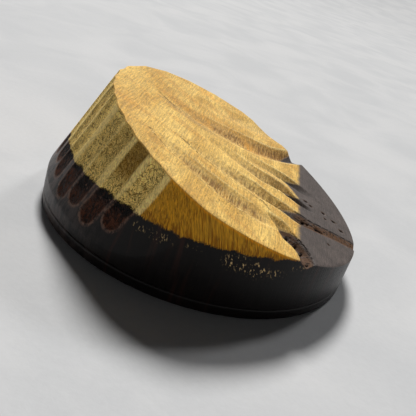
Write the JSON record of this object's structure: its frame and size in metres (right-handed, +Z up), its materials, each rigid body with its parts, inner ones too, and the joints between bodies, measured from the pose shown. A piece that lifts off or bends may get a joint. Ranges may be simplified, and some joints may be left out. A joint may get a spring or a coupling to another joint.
{
  "type": "dealer button",
  "caption": "Round two-tone hardwood puck with a sloping fluted top, a gouged thick end and a flat foot, used as a table marker.",
  "frame": {"origin": "centre of the flat foot, on the turning axis", "axes": "+Z up along the turning axis, +X towards the thin end that the sloping top falls to"},
  "size_m": [0.05, 0.05, 0.0205],
  "materials": {
    "light_hardwood": "tooled end grain, oiled, matt to satin",
    "dark_hardwood": "turned and sanded, oiled, satin",
    "dark_hardwood_foot": "turned and sanded, oiled, satin",
    "steel_weight": "turned, bare",
    "dowel_wood": "planed, unfinished"
  },
  "bodies": {
    "root": {"carved_cap": "light_hardwood", "base_disc": "dark_hardwood", "foot_disc": "dark_hardwood_foot", "weight_slug": "steel_weight", "register_dowels": "dowel_wood"}
  },
  "joints": []
}
